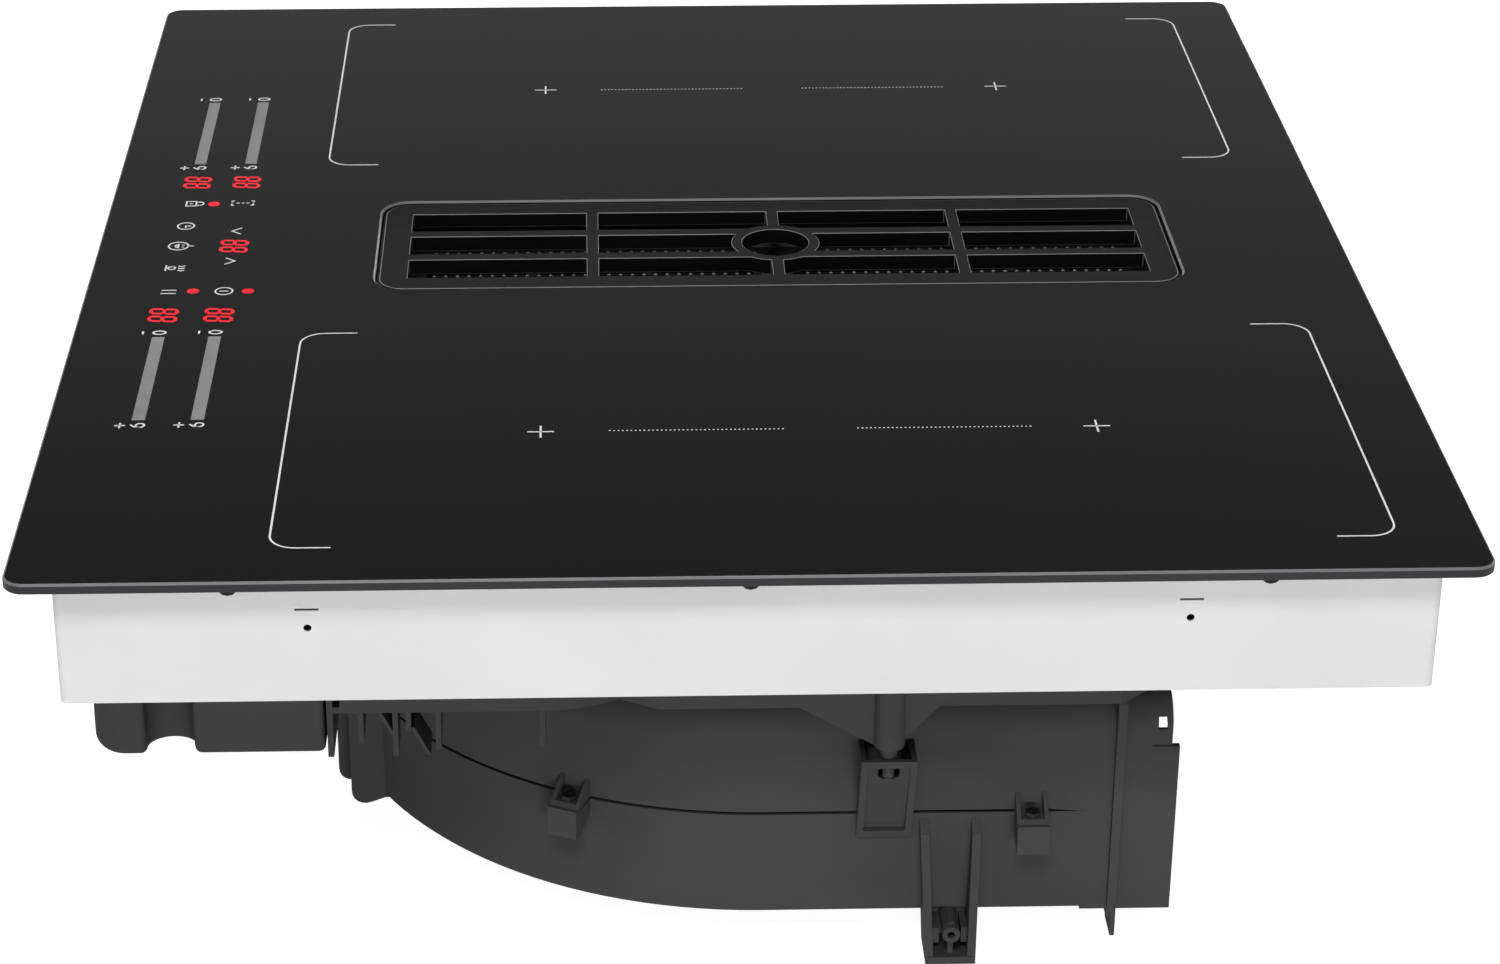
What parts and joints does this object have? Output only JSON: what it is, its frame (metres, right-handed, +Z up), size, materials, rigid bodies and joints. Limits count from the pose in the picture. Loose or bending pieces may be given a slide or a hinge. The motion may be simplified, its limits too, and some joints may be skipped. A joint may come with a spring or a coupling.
{
  "type": "downdraft induction cooktop",
  "caption": "Drop-in induction cooktop with a lift-out air intake in its glass, a grease filter below it, an overflow tank, and a centrifugal blower with a flat-duct outlet.",
  "frame": {"origin": "middle of the underside of the foam seal, the face that rests on the worktop", "axes": "+X to the user's right, +Y to the back, +Z up"},
  "size_m": [0.59, 0.52, 0.204],
  "materials": {
    "glass_black": "polished black glass ceramic",
    "seal_foam": "closed-cell foam tape",
    "housing_sheet": "pale grey zinc-coated sheet",
    "plastic_black": "moulded black polypropylene",
    "grille_black": "satin black enamel",
    "filter_black": "matt black coated mesh",
    "copper_litz": "enamelled copper litz wire",
    "mica": "mica sheet",
    "former_white": "heat-proof moulding",
    "ferrite": "sintered ferrite",
    "bare_aluminium": "bare aluminium",
    "circuit_board": "solder-masked glass-fibre board",
    "capacitor_yellow": "film capacitor case",
    "winding_board": "lacquered winding",
    "nylon_black": "glass-filled nylon",
    "nylon_pale": "natural nylon",
    "display_red": "seven-segment display",
    "steel_bright": "turned steel",
    "zinc_screw": "zinc-plated steel",
    "wheel_grey": "glass-filled polypropylene",
    "buffer_rubber": "bonded rubber"
  },
  "bodies": {
    "base": {"air_well": "plastic_black", "base_casing": "plastic_black", "board_standoffs": "nylon_black", "cable_gland": "nylon_black", "capacitors": "capacitor_yellow", "coil_formers": "former_white", "coil_front_left": "copper_litz", "coil_front_right": "copper_litz", "coil_rear_left": "copper_litz", "coil_rear_right": "copper_litz", "coil_trays": "bare_aluminium", "control_board": "circuit_board", "control_holder": "nylon_black", "displays": "display_red", "edge_buttons": "nylon_black", "fan_frames": "nylon_black", "ferrite_bars": "ferrite", "filter_chokes": "winding_board", "gland_nut": "nylon_black", "glass_panel": "glass_black", "heat_sink_left": "bare_aluminium", "heat_sink_right": "bare_aluminium", "housing_pan": "housing_sheet", "inlet_gasket": "seal_foam", "inlet_ring": "plastic_black", "mains_board": "circuit_board", "mica_sheets": "mica", "motor_base": "bare_aluminium", "motor_board": "circuit_board", "motor_stator": "winding_board", "outlet_collar": "plastic_black", "power_board_left": "circuit_board", "power_board_right": "circuit_board", "rubber_buffers": "buffer_rubber", "scroll_lower": "plastic_black", "scroll_screws": "zinc_screw", "scroll_upper": "plastic_black", "shaft_bearings": "steel_bright", "tank_rails": "housing_sheet", "terminal_block": "nylon_pale", "touch_pads": "former_white", "tray_posts": "nylon_black", "vent_collar": "plastic_black", "worktop_seal": "seal_foam", "zone_sensors": "former_white"},
    "grille": {"intake_grille": "grille_black"},
    "grease_filter": {"filter_frame": "filter_black", "filter_plates": "filter_black", "filter_grip": "plastic_black"},
    "blower_wheel": {"impeller": "wheel_grey", "rotor_can": "steel_bright", "rotor_magnets": "ferrite", "motor_shaft": "steel_bright"},
    "fan_rotor_right_body": {"fan_rotor_right": "nylon_black"},
    "fan_rotor_left_body": {"fan_rotor_left": "nylon_black"},
    "tank": {"overflow_tank": "plastic_black"}
  },
  "joints": [
    {"name": "grille_lift", "type": "slide", "parent": "base", "child": "grille", "axis": [0, 0, 1], "range_m": [0, 0.12]},
    {"name": "filter_lift", "type": "slide", "parent": "base", "child": "grease_filter", "axis": [0, 0, 1], "range_m": [0, 0.072]},
    {"name": "wheel_spin", "type": "hinge", "parent": "base", "child": "blower_wheel", "pos_m": [0.041, 0.001, -0.13], "axis": [0, 0, 1], "continuous": true},
    {"name": "fan_spin_right", "type": "hinge", "parent": "base", "child": "fan_rotor_right_body", "pos_m": [0.205, 0.19, -0.037], "axis": [0, 0, 1], "continuous": true},
    {"name": "fan_spin_left", "type": "hinge", "parent": "base", "child": "fan_rotor_left_body", "pos_m": [-0.205, 0.19, -0.037], "axis": [0, 0, 1], "continuous": true},
    {"name": "tank_slide", "type": "slide", "parent": "base", "child": "tank", "axis": [0, -1, 0], "range_m": [0, 0.09]}
  ],
  "couplings": [
    {"joint": "filter_lift", "follows": "grille_lift", "ratio": 0.6}
  ]
}
